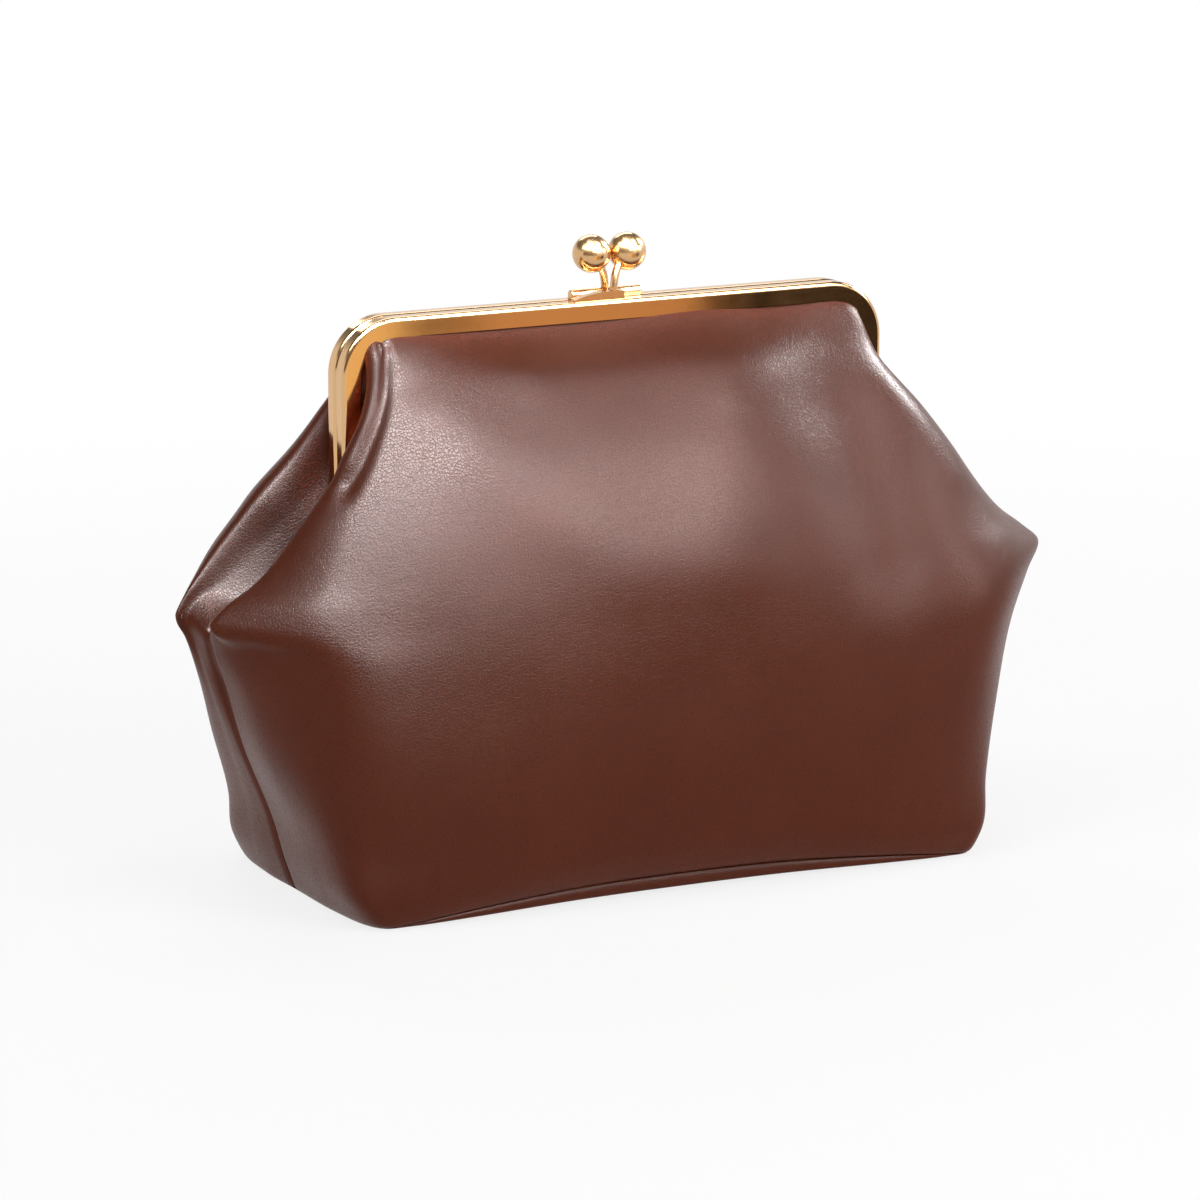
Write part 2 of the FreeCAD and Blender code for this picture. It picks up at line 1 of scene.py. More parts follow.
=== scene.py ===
import bpy
import bmesh
import json
import math
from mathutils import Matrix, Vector


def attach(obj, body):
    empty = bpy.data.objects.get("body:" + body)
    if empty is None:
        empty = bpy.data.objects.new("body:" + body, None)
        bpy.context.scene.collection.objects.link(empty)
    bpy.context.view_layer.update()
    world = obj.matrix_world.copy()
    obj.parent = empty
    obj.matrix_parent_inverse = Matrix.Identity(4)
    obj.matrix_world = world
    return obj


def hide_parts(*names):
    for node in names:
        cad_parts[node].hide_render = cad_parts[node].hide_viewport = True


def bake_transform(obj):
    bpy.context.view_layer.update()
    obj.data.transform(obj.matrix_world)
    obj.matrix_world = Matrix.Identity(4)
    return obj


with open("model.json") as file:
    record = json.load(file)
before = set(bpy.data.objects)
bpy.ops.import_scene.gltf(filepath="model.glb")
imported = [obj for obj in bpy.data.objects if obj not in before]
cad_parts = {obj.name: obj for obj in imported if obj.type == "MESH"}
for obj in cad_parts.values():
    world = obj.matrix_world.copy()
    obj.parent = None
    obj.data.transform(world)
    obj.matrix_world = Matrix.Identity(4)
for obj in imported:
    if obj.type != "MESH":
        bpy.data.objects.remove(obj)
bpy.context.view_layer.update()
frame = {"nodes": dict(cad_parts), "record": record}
nodes = frame["nodes"]
mm = 0.001
print("frame loaded:", len(nodes), "nodes")


# short ways to add nodes
def newMaterial(name):
    material = bpy.data.materials.new(name)
    material.use_nodes = True
    tree = material.node_tree
    return material, tree, tree.nodes["Principled BSDF"]


def addNode(tree, kind, settings={}, inputs={}):
    # an input is either another node's output, which is linked, or a constant
    node = tree.nodes.new(kind)
    for key, value in settings.items():
        setattr(node, key, value)
    for key, value in inputs.items():
        if isinstance(value, bpy.types.NodeSocket):
            tree.links.new(value, node.inputs[key])
        else:
            node.inputs[key].default_value = value
    return node


def addMath(tree, operation, *values):
    return addNode(tree, "ShaderNodeMath", {"operation": operation}, dict(enumerate(values))).outputs[0]


def addNoise(tree, place, scale, detail, roughness=0.5, distortion=0.0):
    values = {"Vector": place, "Scale": scale, "Detail": detail}
    values |= {"Roughness": roughness, "Distortion": distortion}
    return addNode(tree, "ShaderNodeTexNoise", {}, values).outputs


def addBump(tree, height, strength, distance):
    return addNode(tree, "ShaderNodeBump", {}, {"Strength": strength, "Distance": distance, "Height": height})


def mixColour(tree, amount, a, b):
    return addNode(tree, "ShaderNodeMix", {"data_type": "RGBA"}, {0: amount, 6: a, 7: b}).outputs[2]


def spread(tree, value, low, high):
    return addNode(tree, "ShaderNodeMapRange", {}, {0: value, 3: low, 4: high}).outputs[0]


def smoothStep(tree, value, start, end, low=0.0, high=1.0):
    values = {0: value, 1: start, 2: end, 3: low, 4: high}
    return addNode(tree, "ShaderNodeMapRange", {"interpolation_type": "SMOOTHSTEP"}, values).outputs[0]


def newGroup(name, inputs, outputs):
    tree = bpy.data.node_groups.new(name, "ShaderNodeTree")
    tree.interface.new_socket("Vector", in_out="INPUT", socket_type="NodeSocketVector")
    for label, value in inputs.items():
        socket = tree.interface.new_socket(label, in_out="INPUT", socket_type="NodeSocketFloat")
        socket.default_value = value
    for label in outputs:
        tree.interface.new_socket(label, in_out="OUTPUT", socket_type="NodeSocketFloat")
    return tree, tree.nodes.new("NodeGroupInput").outputs, tree.nodes.new("NodeGroupOutput").inputs


def placeGroup(tree, group, values):
    place = addNode(tree, "ShaderNodeTexCoord").outputs["Object"]
    return addNode(tree, "ShaderNodeGroup", {"node_tree": group}, {"Vector": place, **values}).outputs


# fine pebbled hide: cells, pores between them and slow mottling
grainLook = dict(
    pebbles=900.0,
    mottle=30.0,
    warpScale=160.0,
    warp=0.0016,  # metres that the cells are pushed about
    poreWidth=0.16,
    poreDepth=0.45,
    lumpScale=420.0,
    lumpHeight=0.7,
)


def grainGroup():
    values = {"Pebbles": grainLook["pebbles"], "Mottle": grainLook["mottle"]}
    tree, given, out = newGroup("leatherGrain", values, ["Height", "Tone", "Pores"])
    place = given["Vector"]
    warp = addNoise(tree, place, grainLook["warpScale"], 2.0)["Color"]
    warped = {0: warp, 1: (grainLook["warp"],) * 3, 2: place}
    shifted = addNode(tree, "ShaderNodeVectorMath", {"operation": "MULTIPLY_ADD"}, warped).outputs[0]
    pebbles = {"Vector": shifted, "Scale": given["Pebbles"]}
    cells = addNode(tree, "ShaderNodeTexVoronoi", {"feature": "DISTANCE_TO_EDGE"}, pebbles)
    pores = smoothStep(tree, cells.outputs["Distance"], 0.0, grainLook["poreWidth"], 1.0, 0.0)
    lumps = addNoise(tree, place, grainLook["lumpScale"], 3.0)[0]
    slow = addNoise(tree, place, given["Mottle"], 5.0, roughness=0.6)[0]
    raised = addMath(tree, "MULTIPLY", lumps, grainLook["lumpHeight"])
    sunk = addMath(tree, "MULTIPLY", pores, grainLook["poreDepth"])
    tree.links.new(addMath(tree, "SUBTRACT", raised, sunk), out["Height"])
    tree.links.new(slow, out["Tone"])
    tree.links.new(pores, out["Pores"])
    return tree


# plated metal: hairline scratches, faint smears, a warm tarnish and slow waves
polishLook = dict(
    hairlines=500.0,
    smears=60.0,
    stretch=(0.12, 1.0, 1.0),  # the hairlines run along the frame
    spotScale=180.0,
    spots=(0.52, 0.78),  # the noise that begins and completes a tarnished spot
    waveScale=28.0,
)


def polishGroup():
    values = {"Hairlines": polishLook["hairlines"], "Smears": polishLook["smears"]}
    tree, given, out = newGroup("platedPolish", values, ["Scratches", "Smear", "Tarnish", "Waves"])
    place = given["Vector"]
    along = {0: place, 1: polishLook["stretch"]}
    stretched = addNode(tree, "ShaderNodeVectorMath", {"operation": "MULTIPLY"}, along).outputs[0]
    lines = addNoise(tree, stretched, given["Hairlines"], 4.0, roughness=0.7)[0]
    smear = addNoise(tree, place, given["Smears"], 4.0)[0]
    spots = addNoise(tree, place, polishLook["spotScale"], 6.0, roughness=0.65)[0]
    waves = addNoise(tree, place, polishLook["waveScale"], 1.0)[0]
    tree.links.new(lines, out["Scratches"])
    tree.links.new(smear, out["Smear"])
    tree.links.new(smoothStep(tree, spots, *polishLook["spots"]), out["Tarnish"])
    tree.links.new(waves, out["Waves"])
    return tree


leatherGrain = grainGroup()
platedPolish = polishGroup()


# in each look, bump is a strength and a distance in metres
leatherLook = dict(
    deep=(0.099, 0.0175, 0.0042, 1),
    pale=(0.114, 0.0212, 0.0056, 1),
    tone=(-0.5, 1.5),
    pebbles=1000.0,
    poreShade=0.35,
    poreDark=0.45,
    rough=(0.25, 0.33),
    poreRough=0.14,
    bump=(0.24, 0.00025),
    specular=0.12,
)


def leatherMaterial(name):
    material, tree, shader = newMaterial(name)
    grain = placeGroup(tree, leatherGrain, {"Pebbles": leatherLook["pebbles"]})
    deep, pale = leatherLook["deep"], leatherLook["pale"]
    colour = mixColour(tree, spread(tree, grain["Tone"], *leatherLook["tone"]), deep, pale)
    shade = addMath(tree, "MULTIPLY", grain["Pores"], leatherLook["poreShade"])
    pore = tuple(c * leatherLook["poreDark"] for c in deep[:3]) + (1.0,)
    tree.links.new(mixColour(tree, shade, colour, pore), shader.inputs["Base Color"])
    rough = spread(tree, grain["Tone"], *leatherLook["rough"])
    dull = addMath(tree, "MULTIPLY_ADD", grain["Pores"], leatherLook["poreRough"], rough)
    tree.links.new(dull, shader.inputs["Roughness"])
    bump = addBump(tree, grain["Height"], *leatherLook["bump"])
    tree.links.new(bump.outputs[0], shader.inputs["Normal"])
    shader.inputs["Specular IOR Level"].default_value = leatherLook["specular"]
    return material


goldLook = dict(
    warmth=(0.9, 0.8, 0.66),  # what tarnish leaves of red, green and blue
    wear=0.55,
    smear=(-0.05, 0.07),  # added to the roughness
    scratchRough=0.06,
    bump=(0.04, 0.0001),
)


def goldMaterial(name, colour, rough, hairlines, wave):
    # wave is the height of the slow waves, in millimetres
    material, tree, shader = newMaterial(name)
    polish = placeGroup(tree, platedPolish, {"Hairlines": hairlines})
    warm = tuple(c * f for c, f in zip(colour[:3], goldLook["warmth"])) + (1.0,)
    worn = addMath(tree, "MULTIPLY", polish["Tarnish"], goldLook["wear"])
    tree.links.new(mixColour(tree, worn, colour, warm), shader.inputs["Base Color"])
    shader.inputs["Metallic"].default_value = 1.0
    low, high = goldLook["smear"]
    smear = spread(tree, polish["Smear"], rough + low, rough + high)
    fine = addMath(tree, "MULTIPLY_ADD", polish["Scratches"], goldLook["scratchRough"], smear)
    tree.links.new(fine, shader.inputs["Roughness"])
    wavy = addBump(tree, polish["Waves"], 1.0, wave * mm)
    bump = addBump(tree, polish["Scratches"], *goldLook["bump"])
    tree.links.new(wavy.outputs[0], bump.inputs["Normal"])
    tree.links.new(bump.outputs[0], shader.inputs["Normal"])
    return material


# lining cloth: diagonal ribs across the piece's own cut, in its UV map
twillLook = dict(
    thread=(0.34, 0.23, 0.15, 1),
    shade=(0.16, 0.1, 0.065, 1),
    ribs=dict(Scale=60.0, Distortion=0.6, Detail=2.0),
    slubs=(40.0, 5.0),
    rough=(0.75, 0.95),
    bump=(0.4, 0.0003),
    sheen=0.2,
)


def twillMaterial(name):
    material, tree, shader = newMaterial(name)
    cut = addNode(tree, "ShaderNodeTexCoord").outputs["UV"]
    diagonal = {"bands_direction": "DIAGONAL"}
    ribs = addNode(tree, "ShaderNodeTexWave", diagonal, {"Vector": cut, **twillLook["ribs"]}).outputs[1]
    slubs = addNoise(tree, cut, *twillLook["slubs"])[0]
    mixed = addMath(tree, "MULTIPLY", ribs, slubs)
    colour = mixColour(tree, mixed, twillLook["shade"], twillLook["thread"])
    tree.links.new(colour, shader.inputs["Base Color"])
    tree.links.new(spread(tree, slubs, *twillLook["rough"]), shader.inputs["Roughness"])
    bump = addBump(tree, ribs, *twillLook["bump"])
    tree.links.new(bump.outputs[0], shader.inputs["Normal"])
    shader.inputs["Sheen Weight"].default_value = twillLook["sheen"]
    return material


# raw board and paper cord: matted fibres
fibreLook = dict(detail=6.0, distortion=1.5, rough=(0.8, 0.98), bump=(0.3, 0.0002))


def fibreMaterial(name, pale, dark, scale):
    material, tree, shader = newMaterial(name)
    place = addNode(tree, "ShaderNodeTexCoord").outputs["Object"]
    fibres = addNoise(tree, place, scale, fibreLook["detail"], distortion=fibreLook["distortion"])[0]
    tree.links.new(mixColour(tree, fibres, dark, pale), shader.inputs["Base Color"])
    tree.links.new(spread(tree, fibres, *fibreLook["rough"]), shader.inputs["Roughness"])
    bump = addBump(tree, fibres, *fibreLook["bump"])
    tree.links.new(bump.outputs[0], shader.inputs["Normal"])
    return material


brownLeather = leatherMaterial("brownLeather")
frameGold = goldMaterial("frameGold", (0.66, 0.41, 0.205, 1), 0.09, 500.0, 0.3)
claspGold = goldMaterial("claspGold", (0.64, 0.4, 0.2, 1), 0.17, 350.0, 0.02)
hingeGold = goldMaterial("hingeGold", (0.6, 0.37, 0.18, 1), 0.22, 700.0, 0.1)
liningTwill = twillMaterial("liningTwill")
rawBoard = fibreMaterial("rawBoard", (0.33, 0.26, 0.19, 1), (0.2, 0.15, 0.1, 1), 260.0)
paperTwist = fibreMaterial("paperTwist", (0.6, 0.5, 0.38, 1), (0.4, 0.31, 0.21, 1), 420.0)
print("materials made")

finishes = {
    "frame_gold": frameGold,
    "clasp_gold": claspGold,
    "hinge_gold": hingeGold,
    "leather": brownLeather,
    "lining": liningTwill,
    "board": rawBoard,
    "cord": paperTwist,
}
slotOf = {part["node"]: part["material_slot"] for part in frame["record"]["subparts"]}
for name, node in nodes.items():
    node.data.materials.clear()
    node.data.materials.append(finishes[slotOf[name]])


# the leather: one skin for each side, from the base up into the channel
leather = dict(
    # lines of the left front quarter from the base up to the channel, in millimetres
    lines=dict(
        seam=[(-114, 5, 0.6), (-117, 6, 8), (-121.2, 8.5, 25), (-131.2, 8.5, 50), (-140, 4.5, 74),
              (-145, 0.5, 84.5), (-146.5, -2, 91), (-140.5, -2, 94), (-129, -1, 95.5), (-111, 0, 103),
              (-97.5, 0, 119.5), (-95.7, -3.4, 152), (-95.4, -3.4, 168), (-95, -3.4, 177)],
        gusset=[(-114, -27, 0.5), (-117.8, -28, 8), (-122.5, -25.5, 25), (-132.5, -19, 50), (-143, -11.5, 74),
                (-148.5, -9, 86.5), (-151, -8.3, 94.6), (-146, -8.8, 99.2), (-136, -8.5, 104),
                (-116, -8.5, 120), (-99.5, -8.8, 139), (-92.2, -7.4, 156), (-90.8, -6.2, 171),
                (-92, -3.5, 180.5)],
        roll=[(-110.3, -51.5, 0.5), (-115.6, -53.2, 8), (-120.8, -47.6, 25), (-131, -37, 50), (-142, -23, 74),
              (-150, -15.5, 88), (-154.5, -12.5, 96), (-148, -13, 102), (-138, -14, 109.5),
              (-122, -14.5, 128), (-107, -14, 147), (-95.8, -12.5, 163), (-91.5, -9, 176),
              (-88.5, -3.5, 185.5)],
        outerFlank=[(-99.3, -56, 1.6), (-104, -58.8, 8), (-107, -58, 25), (-113, -55, 50), (-119, -50, 74),
                    (-124, -45, 88), (-126.5, -40.5, 96), (-126, -37.5, 102), (-122, -34.5, 110),
                    (-111.5, -29.5, 128), (-99, -23.8, 148), (-89, -17.8, 164), (-82, -10, 178),
                    (-79.5, -3.3, 187)],
        flank=[(-75, -56.5, 4), (-78, -60, 9), (-80, -62, 26), (-84, -62, 50), (-89, -58, 74),
               (-92, -54.7, 88), (-93, -52.2, 96), (-93, -50.2, 102), (-91, -47.2, 111), (-83, -40.5, 130.5),
               (-75, -32, 150), (-69, -21.5, 167.5), (-65, -9, 180.5), (-63.5, -3.3, 187)],
        shoulder=[(-38, -54.5, 6), (-40, -59, 12), (-41, -62.5, 27), (-42, -64.5, 50), (-44, -62.6, 74),
                  (-45, -60.2, 88), (-46, -58.4, 96), (-46, -56.9, 102), (-45, -54.3, 111),
                  (-42, -47.3, 130.5), (-38, -37.2, 151), (-35, -24, 169.5), (-33, -9.3, 181),
                  (-32, -3.3, 187)],
        middle=[(0, -54, 6.5), (0, -58.5, 13), (0, -62.5, 28), (0, -65, 50), (0, -63.2, 74),
                (0, -61, 88), (0, -59.3, 96), (0, -57.9, 102), (0, -55.4, 111), (0, -48.3, 130.5),
                (0, -37.8, 151), (0, -24, 169.5), (0, -9.3, 181), (0, -3.3, 187)],
    ),
    # how far each level of the front (-1) and of the back (1) has sagged to the right
    lean={-1: [0, -1, -1.5, -1.5, 1.5, 4.2, 5.2, 5.2, 4.8, 4, 3.2, 1, 0.3, 0],
          1: [0, 0.5, 1.5, 1.5, 2, 3, 3, -0.5, -5, -4.2, 0.5, 0, 0, 0]},
    leanShare=dict(seam=0, gusset=0.6, roll=1, outerFlank=1, flank=1, shoulder=1, middle=1),
    # the front's left side, and the back's right, are pulled in under the corner: level, then x, y
    pull=dict(
        gusset={3: (1, -1), 4: (4.5, -3), 5: (3, -1.5)},
        roll={2: (1.5, -1), 3: (6, -6), 4: (13, -13), 5: (10, -8), 6: (2, -1)},
        outerFlank={3: (2, -1.5), 4: (3, -2), 5: (2, -1)},
    ),
    # at their other ends the leather stays flat further out and turns more sharply
    flat=dict(outerFlank={9: (0, -1), 10: (0, -1.8), 11: (0, -1.5), 12: (0, -0.5)}),
    # soft folds of the front: their run (x, z), how wide and how high
    folds=[
        ([(-86, 181), (-41, 171)], 7, 1.4),
        ([(71, 150), (78, 106)], 18, -3.2),
        ([(30, 170), (14, 112)], 20, 1.6),
        ([(84, 183), (58, 174), (28, 163)], 7, 0.9),
        ([(-60, 150), (-20, 112)], 16, 0.9),
        ([(99, 158), (107, 144), (116, 131)], 9, 1.0),
        ([(-85.5, 182), (-86.9, 175), (-88.8, 168.5), (-92, 161.5), (-94.4, 157), (-101, 146), (-107, 138)],
         1.7, -1.7),
        ([(-88.4, 180), (-89.4, 175), (-91.4, 168.5), (-94.4, 162), (-98, 156), (-104.5, 146)], 2.2, 0.9),
    ],
    crowd=(0.6, 0.3),  # columns crowd towards the side seams and the rolls beside them
    splitHeight=121,  # above this the seam opens with the frame
    seamShare=0.0001,  # a column this near to the end lies on the seam
    seamDip=(1.1, 1.6),  # how deep and how wide the leather turns in at a side seam
    columns=116,
    rows=80,
    thick=1.4,
    rounding=1,
    bend=(95, 165),  # heights between which the leather would give as the frame opens; nothing here reads them
)


def spanAt(points, t):
    # the span of a row of points that t falls in: its two points, their neighbours and the share along it
    reach = t * (len(points) - 1)
    i = min(int(reach), len(points) - 2)
    b, c = points[i], points[i + 1]
    a = points[i - 1] if i else b * 2 - c
    d = points[i + 2] if i + 2 < len(points) else c * 2 - b
    return a, b, c, d, reach - i


def bentSpan(start, end, leave, arrive, f):
    ease = f * f * (3 - 2 * f)
    return start * (1 - ease) + end * ease + (leave * (1 - f) - arrive * f) * f * (1 - f)


def turnAt(before, here, after, span):
    # the curve's direction at a point, scaled to the span that it belongs to
    near, far = (here - before).length, (after - here).length
    slope = ((here - before) * (far / near) + (after - here) * (near / far)) / (near + far)
    return slope * span.length


def smoothLine(points, t):
    # a smooth curve up through unevenly spaced points
    a, b, c, d, f = spanAt(points, t)
    if b is points[0]:
        a.z = c.z  # the leather leaves the base level and turns up
    leave, arrive = turnAt(a, b, c, c - b), turnAt(b, c, d, c - b)
    return bentSpan(b, c, leave, arrive, f)


def acrossLines(points, t):
    # the curve from line to line, which turns tightly at the side's roll
    a, b, c, d, f = spanAt(points, t)
    return bentSpan(b, c, (c - a) / 2, (d - b) / 2, f)


def leatherLines(side):
    # front (-1) or back (1); both halves share the line of the side seam
    left, right = [], []
    for name, points in leather["lines"].items():
        share = leather["leanShare"][name]
        for end, made in ((-1, left), (1, right)):
            moved = leather["pull" if end == side else "flat"].get(name, {})
            line = []
            for level, ((x, y, z), lean) in enumerate(zip(points, leather["lean"][side])):
                dx, dy = moved.get(level, (0, 0))
                x, y = x + dx, y + dy
                y = y if name == "seam" and z < leather["splitHeight"] else -side * y
                line.append(Vector((-end * x + lean * share, y, z)))
            made.append(line)
    return left + right[-2::-1]


panelLines = {side: leatherLines(side) for side in (-1, 1)}


def onLeather(u, v, side):
    # a point of the leather; u from left seam to right seam, v from base to channel
    return acrossLines([smoothLine(line, v) for line in panelLines[side]], u) * mm


def awayFrom(place, start, end):
    run = end - start
    along = min(max((place - start).dot(run) / run.length_squared, 0), 1)
    return (place - start - run * along).length


def swell(away, width):
    return math.exp(-((away / width) ** 2))


def foldHeight(place, side):
    # the back has the same folds the other way round
    total = 0
    flat = Vector((-side * place.x, place.z)) / mm
    for points, width, height in leather["folds"]:
        away = min(awayFrom(flat, Vector(a), Vector(b)) for a, b in zip(points, points[1:]))
        total += height * swell(away, width)
    return total


def leatherGrid(side):
    bm = bmesh.new()
    bm.loops.layers.uv.new("cut")
    columns, rows = leather["columns"], leather["rows"]
    bmesh.ops.create_grid(bm, x_segments=columns, y_segments=rows, size=1, calc_uvs=True)
    near, between = leather["crowd"]
    deep, wide = leather["seamDip"]
    dip, ends = {}, {}
    for vert in bm.verts:
        u, v = (vert.co.x + 1) / 2, (vert.co.y + 1) / 2
        if min(u, 1 - u) < leather["seamShare"]:
            ends[vert] = Vector((1 - 2 * round(u), 0, 0))
        u -= (near * math.sin(math.tau * u) - between * math.sin(2 * math.tau * u) / 2) / math.tau
        vert.co = onLeather(u, v, side)
        edge = (vert.co - onLeather(round(u), v, side)).length / mm
        dip[vert] = deep * swell(edge, wide)
    bm.normal_update()
    if sum(face.normal.y * side for face in bm.faces) < 0:
        bmesh.ops.reverse_faces(bm, faces=bm.faces)
        bm.normal_update()
    for vert in bm.verts:
        if vert in ends:
            vert.co += ends[vert] * dip[vert] * mm
        else:
            vert.co += vert.normal * (foldHeight(vert.co, side) - dip[vert]) * mm
    bm.normal_update()
    return bm


def newPiece(name, bm, material):
    for face in bm.faces:
        face.smooth = True
    mesh = bpy.data.meshes.new(name)
    bm.to_mesh(mesh)
    bm.free()
    mesh.materials.append(material)
    piece = bpy.data.objects.new(name, mesh)
    bpy.context.scene.collection.objects.link(piece)
    return piece


def thicken(piece, thick):
    wall = piece.modifiers.new("wall", "SOLIDIFY")
    wall.thickness = thick * mm
    wall.offset = -1
    wall.edge_crease_outer = 1


def soften(piece, levels):
    soft = piece.modifiers.new("soft", "SUBSURF")
    soft.levels = levels
    soft.render_levels = levels


def makeLeather(half, side):
    skin = newPiece(f"{half}Leather", leatherGrid(side), brownLeather)
    thicken(skin, leather["thick"])
    soften(skin, leather["rounding"])
    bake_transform(skin)
    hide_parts(f"{half}_panel", f"{half}_panel_top")


lining = dict(
    gap=2.0,
    thick=0.5,
    flat=(0.37, 0.27),
    area=0.064,
    legs=(130, 7.5, 91.5),  # beside the frame's legs: above this height and within this depth, half width
)


def makeLining(half, side):
    bm = leatherGrid(side)
    legs, deep, wide = [size * mm for size in lining["legs"]]
    for vert in bm.verts:
        vert.co -= vert.normal * lining["gap"] * mm
        if vert.co.z > legs and abs(vert.co.y) < deep:
            vert.co.x = max(-wide, min(wide, vert.co.x))
    cloth = newPiece(f"{half}Cloth", bm, liningTwill)
    thicken(cloth, lining["thick"])
    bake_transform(cloth)
    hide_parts(f"{half}_lining")


for half, side in (("front", -1), ("back", 1)):
    makeLeather(half, side)
    makeLining(half, side)
print("leather and lining made")


# the base: underside and lip, up to the panels' lower seam
base = dict(
    # rings from the underside round the lip: inwards from the seam, share of the seam's height, lift
    rings=[(40, 0, 0.1), (14, 0, 0.1), (4, 0.1, 0.1), (0.5, 0.25, 0.15), (0.1, 0.5, 0.15), (0.4, 0.85, 0.1),
           (1.2, 1, 0.0)],
    # the same for the lining on the board inside
    clothRings=[(40, 0, 4.3), (14, 0, 4.3), (6, 0.1, 4.3), (3.2, 0.55, 3.4)],
    clothFlat=(0.222, 0.106),
    clothSpan=0.3,  # metres of cloth across its UV map
    half=(115, 56),  # half its length and half its depth
    around=192,
    weld=0.001,
)


def basePoint(turn, inwards, share, lift):
    # turn goes once round the lower seam, from its left end along the front
    side = -1 if turn < 0.5 else 1
    edge = onLeather(1 - abs(1 - 2 * turn), 0, side)
    shrink = [1 - inwards / reach for reach in base["half"]]
    return Vector((edge.x * shrink[0], edge.y * shrink[1], edge.z * share + lift * mm))


def ringedSheet(rings):
    bm = bmesh.new()
    steps = len(rings) - 1
    bmesh.ops.create_grid(bm, x_segments=base["around"], y_segments=steps, size=1)
    inner = []
    for vert in bm.verts:
        turn, ring = (vert.co.x + 1) / 2, round((vert.co.y + 1) / 2 * steps)
        vert.co = basePoint(turn, *rings[ring])
        if ring == 0:
            inner.append(vert)
    bmesh.ops.contextual_create(bm, geom=inner)
    bmesh.ops.remove_doubles(bm, verts=bm.verts, dist=base["weld"] * mm)
    bmesh.ops.recalc_face_normals(bm, faces=bm.faces)
    return bm


def makeBase():
    piece = newPiece("baseLeather", ringedSheet(base["rings"]), brownLeather)
    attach(piece, "bag")
    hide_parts("base_panel")


def makeBaseCloth():
    bm = ringedSheet(base["clothRings"])
    if sum(face.normal.z for face in bm.faces) < 0:
        bmesh.ops.reverse_faces(bm, faces=bm.faces)
    cut = bm.loops.layers.uv.new("cut")
    for face in bm.faces:
        for loop in face.loops:
            loop[cut].uv = loop.vert.co.xy / base["clothSpan"]
    cloth = newPiece("baseCloth", bm, liningTwill)
    thicken(cloth, lining["thick"])
    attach(cloth, "bag")
    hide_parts("base_lining")


makeBase()
makeBaseCloth()
print("base made")


# floor, light and camera
studio = dict(
    floorSize=14,
    floorColour=(0.92, 0.92, 0.92, 1),
    floorRough=0.9,
    floorSpecular=0.1,
    white=(1, 1, 1, 1),
    glow=0.8,  # share of the floor that shows as plain white near the purse, the rest takes its shadow
    fade=(0.3, 0.9),  # away from the purse the floor fades to plain white
    dim=0.18,  # strength of the ceiling, and of all the sky where it only lights
    ceiling=(0.2, 0.45),  # the white backdrop gives way to the dim ceiling between these slopes
    aim=(0, 0, 0.12),
    # azimuth from the front, rise, how far away, width, height, watts
    lamps=dict(
        front=(25, 27, 1.3, 0.8, 0.45, 7.2),
        left=(-78, 44, 1.3, 0.6, 0.5, 5),
        right=(95, 34, 1.25, 0.3, 0.5, 2.4),
        above=(-40, 80, 1.7, 1.3, 1.3, 3.5),
        back=(165, 38, 1.4, 1.0, 0.5, 6),
    ),
    # soft boxes that only show as sheen
    shine=dict(
        broad=(11, 35, 1.3, 0.94, 0.56, 49),
        corner=(-33, 49, 1.3, 0.95, 0.24, 92),
        edge=(96, 29, 1.25, 0.25, 0.22, 26),
        fringe=(39, 33, 1.3, 0.32, 0.46, 3.5),
        flank=(61, 18, 1.3, 0.25, 0.25, 4.5),
        high=(46, 60, 1.3, 0.4, 0.4, 7),
        ledge=(-42, 70, 1.2, 0.4, 0.4, 16),
    ),
    # glowing boards in front that only the polished metal and the gloss show, as painted reflections: left
    # end and glow colour of each
    boards=[(-0.06, (1.25, 0.95, 0.5, 1)), (0.037, (0.37, 0.23, 0.115, 1)), (0.068, (0.8, 0.465, 0.235, 1)),
            (0.163, (0.045, 0.03, 0.018, 1))],
    boardsEnd=0.33,
    boardsPlace=(-0.26, 0.05, 0.172),  # y, lower and upper edge
    # a glowing screen beside the camera that paints a reflection in the balls: its lower ends, height and
    # colour
    screenEnds=[(-0.6, -0.15, 0.17), (0.1, -0.62, 0.17)],
    screenTall=0.23,
    screenColour=(0.2, 0.14, 0.09, 1),
)


def seenRays(tree):
    # one where the camera, a reflection or glass sees the surface
    rays = addNode(tree, "ShaderNodeLightPath").outputs
    seen = addMath(tree, "MAXIMUM", rays["Is Camera Ray"], rays["Is Glossy Ray"])
    return addMath(tree, "MAXIMUM", seen, rays["Is Transmission Ray"])


def makeFloor():
    bpy.ops.mesh.primitive_plane_add(size=studio["floorSize"])
    floor = bpy.context.object
    floor.name = "floor"
    material, tree, shader = newMaterial("paleFloor")
    shader.inputs["Base Color"].default_value = studio["floorColour"]
    shader.inputs["Roughness"].default_value = studio["floorRough"]
    shader.inputs["Specular IOR Level"].default_value = studio["floorSpecular"]
    seen = seenRays(tree)
    white = addNode(tree, "ShaderNodeEmission", {}, {"Color": studio["white"], "Strength": 1.0})
    place = addNode(tree, "ShaderNodeTexCoord").outputs["Object"]
    away = addNode(tree, "ShaderNodeVectorMath", {"operation": "LENGTH"}, {0: place}).outputs["Value"]
    share = addMath(tree, "MULTIPLY", seen, smoothStep(tree, away, *studio["fade"], studio["glow"], 1.0))
    mixed = addNode(tree, "ShaderNodeMixShader", {}, {0: share, 1: shader.outputs[0], 2: white.outputs[0]})
    tree.links.new(mixed.outputs[0], tree.nodes["Material Output"].inputs["Surface"])
    floor.data.materials.append(material)


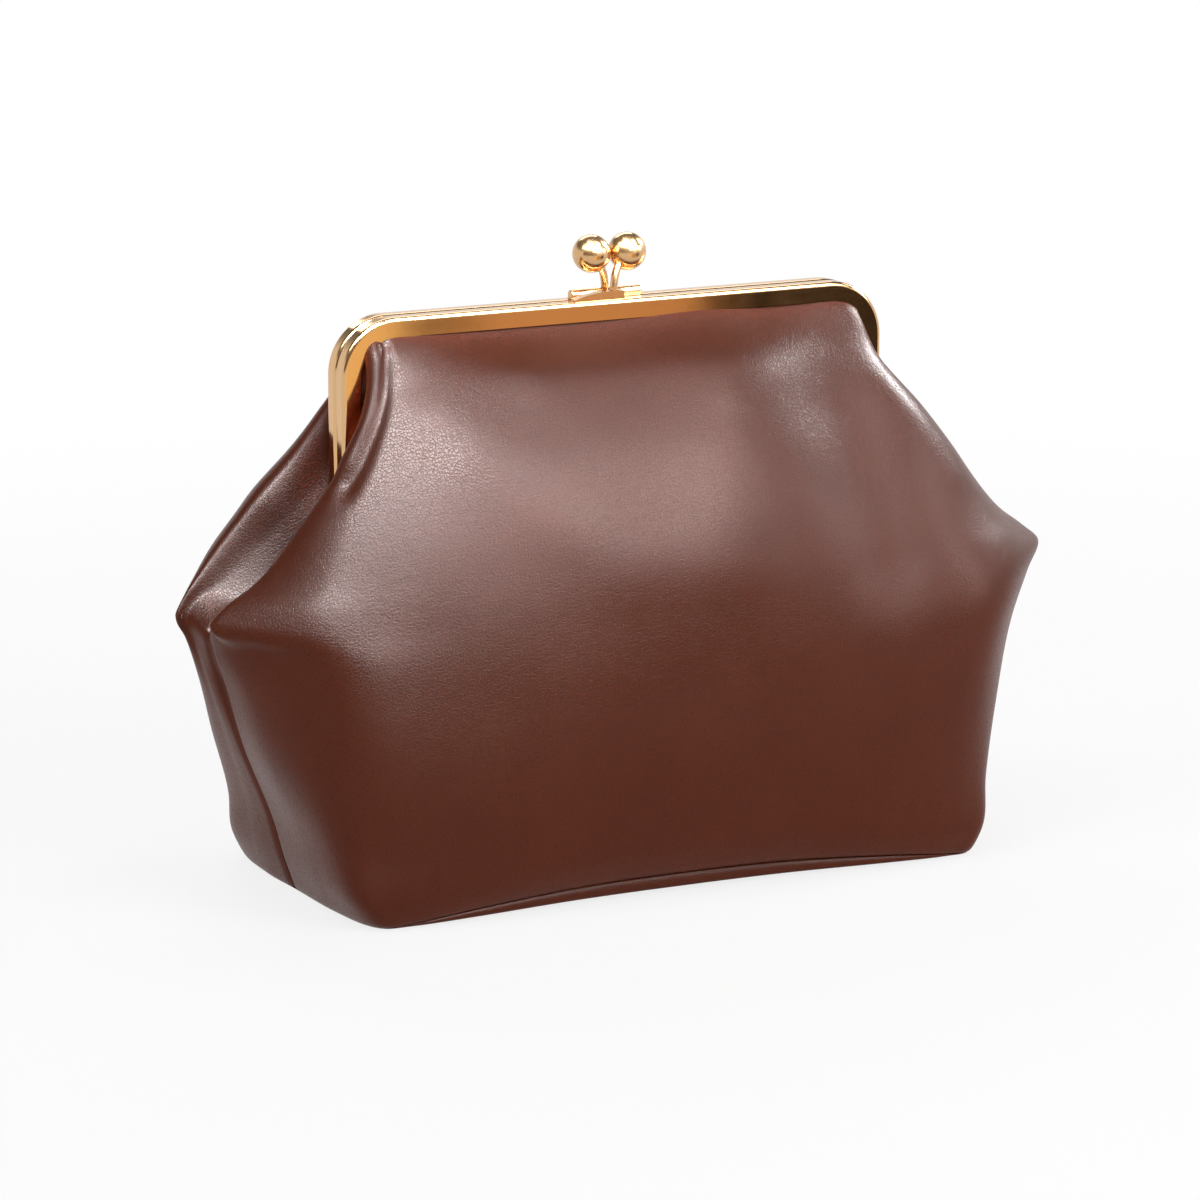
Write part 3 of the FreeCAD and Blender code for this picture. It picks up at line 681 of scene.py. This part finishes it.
def makeSky():
    world = bpy.data.worlds.new("studio")
    world.use_nodes = True
    sky = world.node_tree
    back = sky.nodes["Background"]
    back.inputs[0].default_value = studio["white"]
    heading = addNode(sky, "ShaderNodeTexCoord").outputs["Generated"]
    height = addNode(sky, "ShaderNodeSeparateXYZ", {}, {0: heading}).outputs["Z"]
    wall = smoothStep(sky, height, *studio["ceiling"], 1.0, studio["dim"])
    level = addNode(sky, "ShaderNodeMix", {}, {0: seenRays(sky), 2: studio["dim"], 3: wall})
    sky.links.new(level.outputs[0], back.inputs[1])
    bpy.context.scene.world = world


def fromFront(azimuth, rise):
    turn, lift = math.radians(azimuth), math.radians(rise)
    return Vector((math.sin(turn) * math.cos(lift), -math.cos(turn) * math.cos(lift), math.sin(lift)))


def placeFacing(thing, aim, azimuth, rise, away):
    # sets a lamp or camera away from a point and turns it to look there
    bpy.context.scene.collection.objects.link(thing)
    back = fromFront(azimuth, rise)
    thing.location = Vector(aim) + back * away
    thing.rotation_euler = (-back).to_track_quat("-Z", "Y").to_euler()


def makeLamp(name, azimuth, rise, away, width, height, watts):
    light = bpy.data.lights.new(name, "AREA")
    light.shape = "RECTANGLE"
    light.size, light.size_y = width, height
    light.energy = watts
    lamp = bpy.data.objects.new(name, light)
    placeFacing(lamp, studio["aim"], azimuth, rise, away)
    lamp.visible_camera = False
    return lamp


def makeLamps():
    for name, values in studio["lamps"].items():
        makeLamp(name, *values)
    for name, values in studio["shine"].items():
        makeLamp(name, *values).visible_diffuse = False


def makeBoard(start, end, tall, colour):
    bm = bmesh.new()
    foot = bm.edges.new([bm.verts.new(place) for place in (start, end)])
    raised = bmesh.ops.extrude_edge_only(bm, edges=[foot])["geom"]
    top = [part for part in raised if isinstance(part, bmesh.types.BMVert)]
    bmesh.ops.translate(bm, verts=top, vec=(0, 0, tall))
    mesh = bpy.data.meshes.new("board")
    bm.to_mesh(mesh)
    bm.free()
    # each board glows with its colour and is seen only in reflections, a painted reflection in the metal and
    # the gloss
    material, tree, shader = newMaterial("reflectionGlowBoard")
    shader.inputs["Base Color"].default_value = (0, 0, 0, 1)
    shader.inputs["Specular IOR Level"].default_value = 0
    shader.inputs["Emission Color"].default_value = colour
    shader.inputs["Emission Strength"].default_value = 1
    mesh.materials.append(material)
    board = bpy.data.objects.new("board", mesh)
    bpy.context.scene.collection.objects.link(board)
    board.visible_camera = False
    board.visible_diffuse = False
    board.visible_shadow = False


def makeBoards():
    ends = [left for left, colour in studio["boards"][1:]] + [studio["boardsEnd"]]
    away, low, high = studio["boardsPlace"]
    for (left, colour), right in zip(studio["boards"], ends):
        makeBoard(Vector((left, away, low)), Vector((right, away, low)), high - low, colour)
    start, end = [Vector(place) for place in studio["screenEnds"]]
    makeBoard(start, end, studio["screenTall"], studio["screenColour"])


shot = dict(
    aim=(-0.00273, 0.00137, 0.08805),
    azimuth=-26.7,
    rise=12.25,
    away=2.0,
    lens=178.8,
    sensor=36,
    near=0.01,
)


def makeCamera():
    data = bpy.data.cameras.new("shot")
    data.lens = shot["lens"]
    data.sensor_width = shot["sensor"]
    data.clip_start = shot["near"]
    camera = bpy.data.objects.new("shot", data)
    placeFacing(camera, shot["aim"], shot["azimuth"], shot["rise"], shot["away"])
    bpy.context.scene.camera = camera


makeFloor()
makeSky()
makeLamps()
makeBoards()
makeCamera()
bpy.context.scene.view_settings.view_transform = "Standard"
print("studio made")
